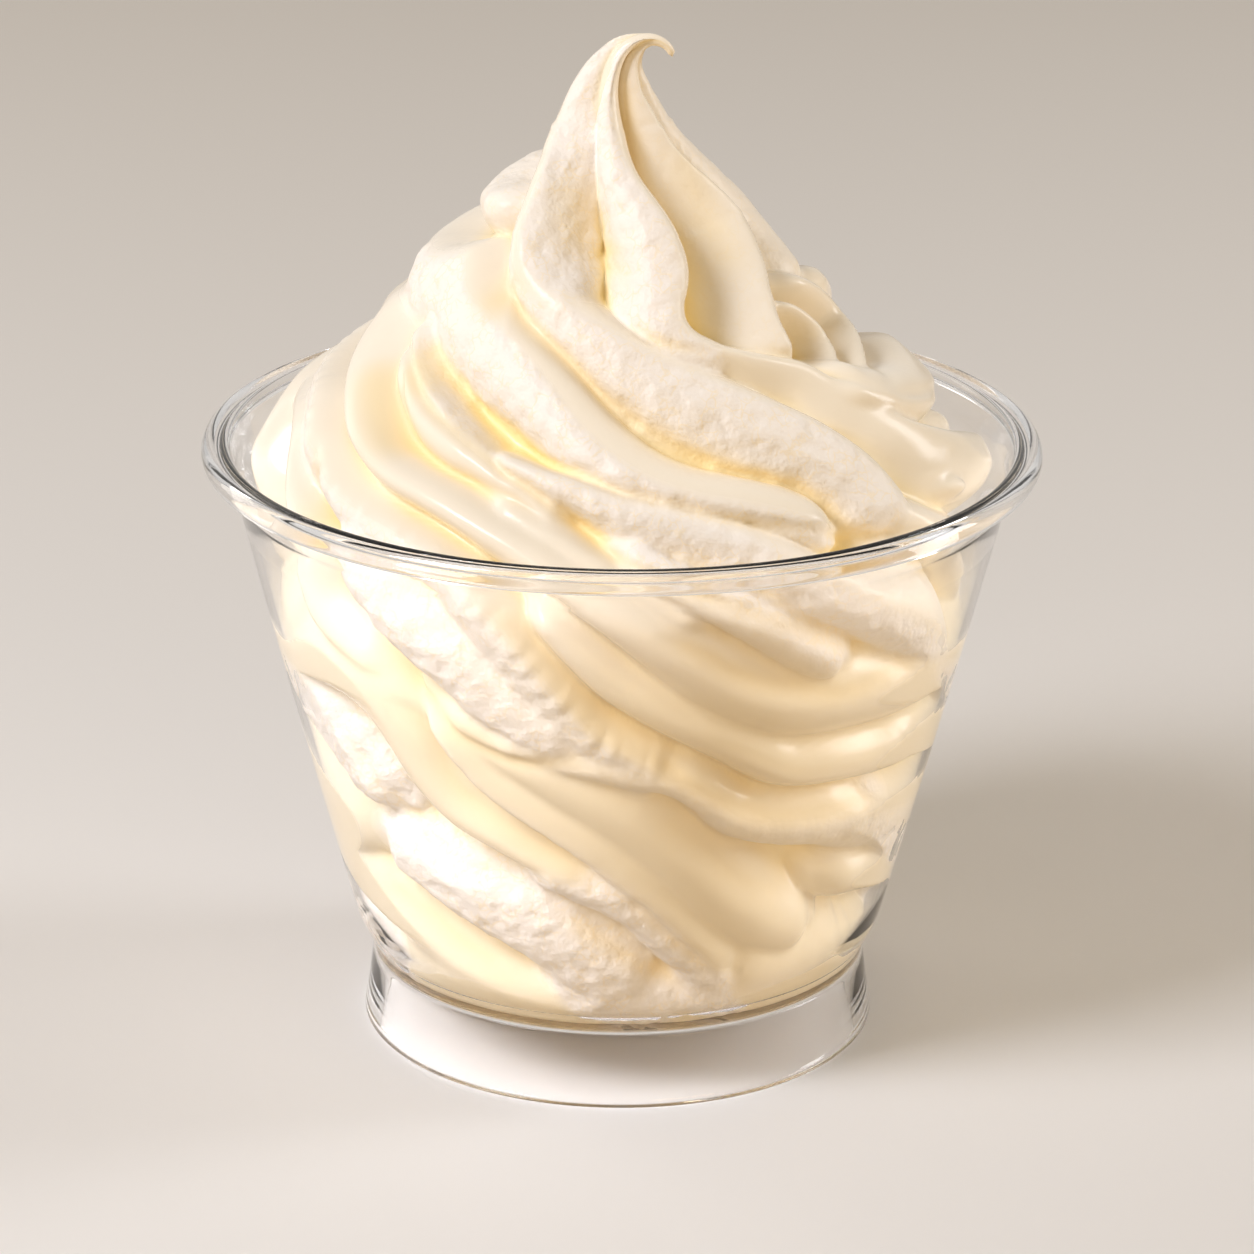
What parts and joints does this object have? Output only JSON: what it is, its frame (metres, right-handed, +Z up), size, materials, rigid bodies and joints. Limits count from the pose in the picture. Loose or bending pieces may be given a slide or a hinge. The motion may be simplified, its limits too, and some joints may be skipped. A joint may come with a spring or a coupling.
{
  "type": "vanilla sundae",
  "caption": "Vanilla soft-serve sundae: a tall piped swirl of ice cream with a curled tip, filling a clear footed plastic cup with a rolled rim.",
  "frame": {"origin": "centre of the cup's axis at the surface the foot stands on", "axes": "+Z up along the cup's axis, -Y towards the front of the swirl, +X to its right, where the tip curls over"},
  "size_m": [0.098, 0.098, 0.1203],
  "materials": {
    "clear_plastic": "clear, smooth, high gloss",
    "ice_cream": "soft cream, satin on the smooth ribs and matte on the torn ones"
  },
  "bodies": {
    "root": {"cup": "clear_plastic", "soft_serve": "ice_cream"}
  },
  "joints": []
}
